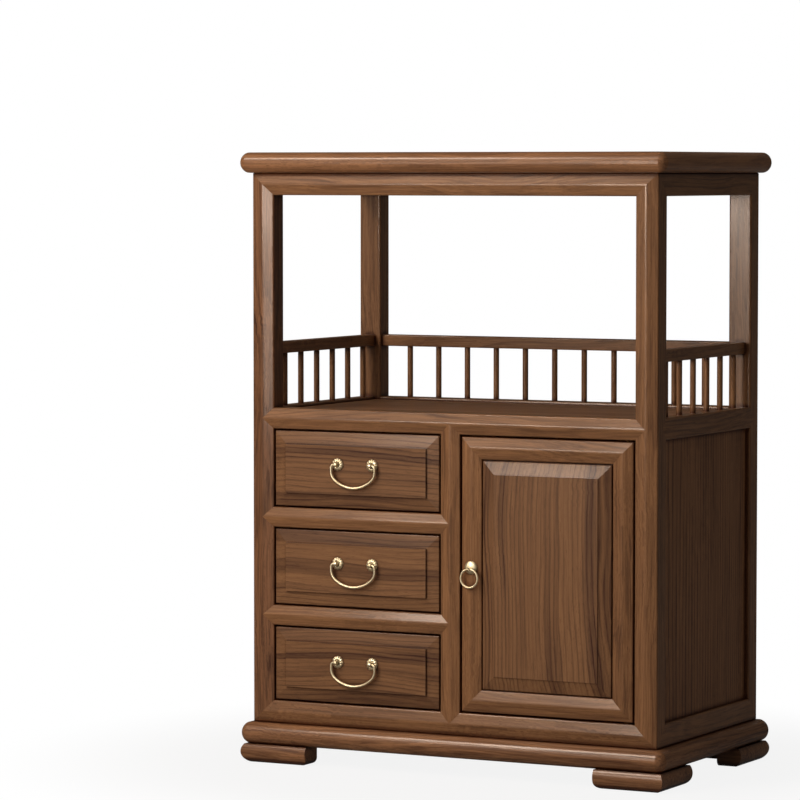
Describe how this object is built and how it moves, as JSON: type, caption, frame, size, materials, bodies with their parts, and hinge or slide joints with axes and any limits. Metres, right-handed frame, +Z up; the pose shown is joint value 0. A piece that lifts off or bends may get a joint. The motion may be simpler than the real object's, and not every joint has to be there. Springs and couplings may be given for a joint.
{
  "type": "tea cabinet",
  "caption": "Solid wood tea cabinet with drawers beside a door, an open display bay with a low spindle gallery above them, a bullnosed top, a moulded plinth on feet, and brass pulls",
  "frame": {"origin": "on the floor below the middle of the cabinet's bounding box", "axes": "+Z up, the front with the drawers and the door faces -Y, +X to the right seen from the front"},
  "size_m": [0.8, 0.465, 1.05],
  "materials": {
    "frame_wood": "satin lacquer over a warm brown stain",
    "top_wood": "satin lacquer over a warm brown stain",
    "plinth_wood": "satin lacquer over a darker brown stain",
    "panel_wood": "satin lacquer with open straight grain",
    "inner_wood": "bare pale wood, lightly sealed",
    "brass": "polished pale brass"
  },
  "bodies": {
    "cabinet": {"top_frame_front": "top_wood", "top_frame_rear": "top_wood", "top_frame_sides": "top_wood", "top_panel": "top_wood", "front_left_post": "frame_wood", "front_right_post": "frame_wood", "rear_posts": "frame_wood", "upper_front_rail": "frame_wood", "upper_rear_rail": "frame_wood", "upper_side_rails": "frame_wood", "deck_front_rail": "frame_wood", "deck_rear_rail": "frame_wood", "deck_side_rails": "frame_wood", "deck_panel": "top_wood", "gallery_back_rail": "frame_wood", "gallery_side_rails": "frame_wood", "gallery_spindles": "frame_wood", "centre_stile": "frame_wood", "drawer_dividers": "frame_wood", "base_front_rail": "frame_wood", "base_rear_rail": "frame_wood", "base_side_rails": "frame_wood", "side_panels": "panel_wood", "back_panel": "inner_wood", "floor_panel": "inner_wood", "partition": "inner_wood", "drawer_runners": "inner_wood", "inner_shelf": "inner_wood", "shelf_battens": "inner_wood", "door_stop": "inner_wood", "plinth_front": "plinth_wood", "plinth_rear": "plinth_wood", "plinth_sides": "plinth_wood", "front_feet": "plinth_wood", "rear_feet": "plinth_wood"},
    "drawer_top": {"top_drawer_front": "panel_wood", "top_drawer_sides": "inner_wood", "top_drawer_back": "inner_wood", "top_drawer_floor": "inner_wood", "top_pull_posts": "brass"},
    "bail_top": {"top_bail": "brass"},
    "drawer_middle": {"middle_drawer_front": "panel_wood", "middle_drawer_sides": "inner_wood", "middle_drawer_back": "inner_wood", "middle_drawer_floor": "inner_wood", "middle_pull_posts": "brass"},
    "bail_middle": {"middle_bail": "brass"},
    "drawer_bottom": {"bottom_drawer_front": "panel_wood", "bottom_drawer_sides": "inner_wood", "bottom_drawer_back": "inner_wood", "bottom_drawer_floor": "inner_wood", "bottom_pull_posts": "brass"},
    "bail_bottom": {"bottom_bail": "brass"},
    "door": {"door_stiles": "frame_wood", "door_rails": "frame_wood", "door_panel": "panel_wood", "door_pivots": "brass", "ring_boss": "brass"},
    "ring": {"ring_pull": "brass"}
  },
  "joints": [
    {"name": "drawer_top_slide", "type": "slide", "parent": "cabinet", "child": "drawer_top", "axis": [0, -1, 0], "range_m": [0, 0.28]},
    {"name": "bail_top_swing", "type": "hinge", "parent": "drawer_top", "child": "bail_top", "pos_m": [-0.17875, -0.2258, 0.52], "axis": [-1, 0, 0], "range_deg": [-7, 85]},
    {"name": "drawer_middle_slide", "type": "slide", "parent": "cabinet", "child": "drawer_middle", "axis": [0, -1, 0], "range_m": [0, 0.28]},
    {"name": "bail_middle_swing", "type": "hinge", "parent": "drawer_middle", "child": "bail_middle", "pos_m": [-0.17875, -0.2258, 0.351], "axis": [-1, 0, 0], "range_deg": [-7, 85]},
    {"name": "drawer_bottom_slide", "type": "slide", "parent": "cabinet", "child": "drawer_bottom", "axis": [0, -1, 0], "range_m": [0, 0.28]},
    {"name": "bail_bottom_swing", "type": "hinge", "parent": "drawer_bottom", "child": "bail_bottom", "pos_m": [-0.17875, -0.2258, 0.182], "axis": [-1, 0, 0], "range_deg": [-7, 85]},
    {"name": "door_hinge", "type": "hinge", "parent": "cabinet", "child": "door", "pos_m": [0.3245, -0.205, 0.343], "axis": [0, 0, 1], "range_deg": [0, 95]},
    {"name": "ring_swing", "type": "hinge", "parent": "door", "child": "ring", "pos_m": [0.04, -0.2217, 0.353], "axis": [-1, 0, 0], "range_deg": [-4, 80]}
  ]
}
